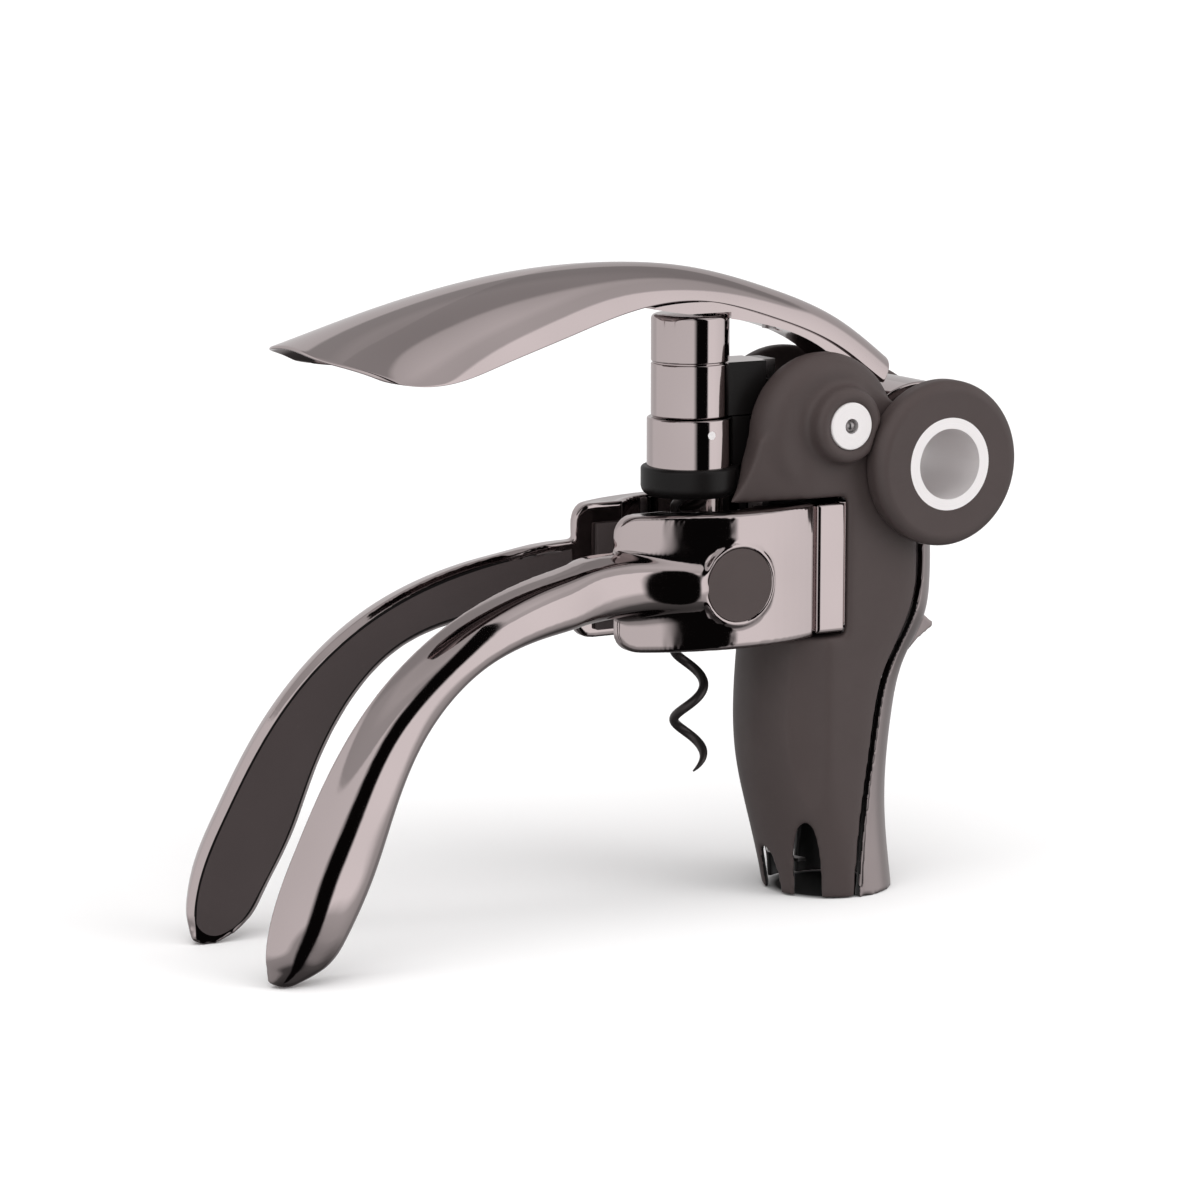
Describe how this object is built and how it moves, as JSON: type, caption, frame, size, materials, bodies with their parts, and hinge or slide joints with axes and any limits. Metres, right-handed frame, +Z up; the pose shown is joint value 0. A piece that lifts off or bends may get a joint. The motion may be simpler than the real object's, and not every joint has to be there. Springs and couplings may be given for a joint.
{
  "type": "lever corkscrew",
  "caption": "Lever corkscrew with an arched lever, geared carriage, helical worm, hinged neck-clamp handles and a foil-cutter cup in its foot.",
  "frame": {"origin": "middle of the bounding box on the floor that the cup and the handle tips stand on", "axes": "+Z up along the worm, +X from the handle tips towards the hub, +Y across the tool along the hub axis"},
  "size_m": [0.2112, 0.0634, 0.1643],
  "materials": {
    "soft_touch": "soft-touch coating, fine matte",
    "soft_grip": "soft rubber",
    "dark_chrome": "polished dark chrome",
    "black_plastic": "black moulded",
    "black_coated_steel": "black non-stick coating",
    "bright_steel": "brushed steel",
    "tool_steel": "machined steel"
  },
  "bodies": {
    "frame": {"right_shell": "soft_touch", "left_shell": "soft_touch", "rack_guide": "black_plastic", "cap_rivets": "bright_steel", "rivet_cores": "tool_steel", "shell_dowels": "tool_steel", "jaw_hinge_pins": "tool_steel", "nut_block": "dark_chrome", "bottle_stop": "black_plastic", "nut_pin": "bright_steel", "foil_pivot_pin": "tool_steel", "foil_springs": "tool_steel", "front_blades": "tool_steel"},
    "lever": {"lever_cover": "dark_chrome", "lever_arm": "dark_chrome", "lever_screws": "tool_steel", "sector_gear": "tool_steel", "sector_pins": "tool_steel", "hub_tube": "bright_steel", "hub_collar": "bright_steel", "right_hub_ring": "soft_touch", "left_hub_ring": "soft_touch"},
    "carriage": {"carriage": "dark_chrome", "carriage_cap": "dark_chrome", "rack": "tool_steel", "rack_screws": "tool_steel", "thrust_washer": "tool_steel"},
    "worm": {"worm": "black_coated_steel"},
    "right_jaw": {"right_jaw": "dark_chrome", "right_neck_pad": "soft_grip", "right_grip_inlay": "soft_grip", "jaw_disc": "soft_touch"},
    "left_jaw": {"left_jaw": "dark_chrome", "left_neck_pad": "soft_grip", "left_grip_inlay": "soft_grip"},
    "foil_trigger": {"foil_trigger": "dark_chrome", "rear_blade": "tool_steel"}
  },
  "joints": [
    {"name": "lever_swing", "type": "hinge", "parent": "frame", "child": "lever", "pos_m": [0.0846, 0, 0.1113], "axis": [0, 1, 0], "range_deg": [0, 86]},
    {"name": "carriage_slide", "type": "slide", "parent": "frame", "child": "carriage", "axis": [0, 0, 1], "range_m": [0, 0.05556]},
    {"name": "worm_spin", "type": "hinge", "parent": "carriage", "child": "worm", "pos_m": [0.0227, 0, 0.08], "axis": [0, 0, 1], "range_deg": [0, 1112]},
    {"name": "right_jaw_open", "type": "hinge", "parent": "frame", "child": "right_jaw", "pos_m": [0.0627, -0.01, 0.086], "axis": [0, 0, 1], "range_deg": [0, 10]},
    {"name": "left_jaw_open", "type": "hinge", "parent": "frame", "child": "left_jaw", "pos_m": [0.0627, 0.01, 0.086], "axis": [0, 0, -1], "range_deg": [0, 10]},
    {"name": "foil_press", "type": "hinge", "parent": "frame", "child": "foil_trigger", "pos_m": [0.0692, 0, 0.057], "axis": [0, -1, 0], "range_deg": [0, 3.5], "stiffness_Nm_per_rad": 2.2, "springref_deg": -2.86, "deforming": ["foil_springs"]}
  ],
  "couplings": [
    {"joint": "carriage_slide", "follows": "lever_swing", "m_per_rad": 0.037},
    {"joint": "worm_spin", "follows": "lever_swing", "ratio": 12.915}
  ]
}
